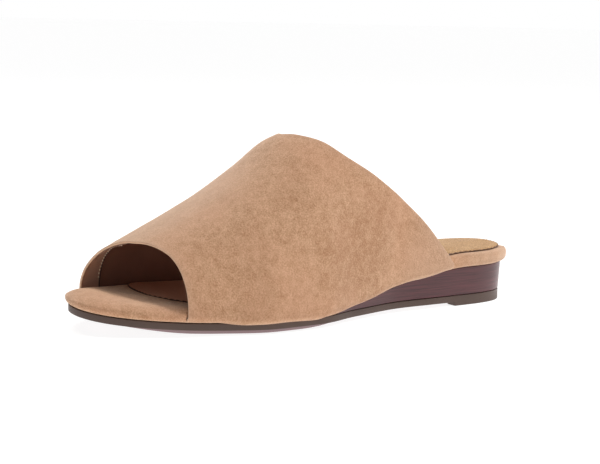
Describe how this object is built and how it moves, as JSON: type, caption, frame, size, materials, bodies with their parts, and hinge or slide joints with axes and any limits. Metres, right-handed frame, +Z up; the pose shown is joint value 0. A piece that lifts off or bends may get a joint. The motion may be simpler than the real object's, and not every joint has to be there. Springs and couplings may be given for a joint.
{
  "type": "slide sandal",
  "caption": "Left open-toe slide sandal: a one-piece suede vamp over a wrapped footbed, sock lining, low stacked demi-wedge and moulded rubber outsole.",
  "frame": {"origin": "middle of the shoe's box, on the floor under its tread", "axes": "+Z up, -Y towards the toe, +X towards the outer (lateral) side of the left foot"},
  "size_m": [0.0928, 0.252, 0.0909],
  "materials": {
    "suede": "tan suede with a fine short nap",
    "sock_leather": "golden-tan grained leather, slightly worn",
    "stacked_wedge": "dark plum-brown stacked layers, lacquered",
    "outsole_rubber": "matt grey-brown moulded rubber"
  },
  "bodies": {
    "root": {"outsole": "outsole_rubber", "heel_wedge": "stacked_wedge", "footbed": "suede", "sock_lining": "sock_leather", "upper": "suede"}
  },
  "joints": []
}
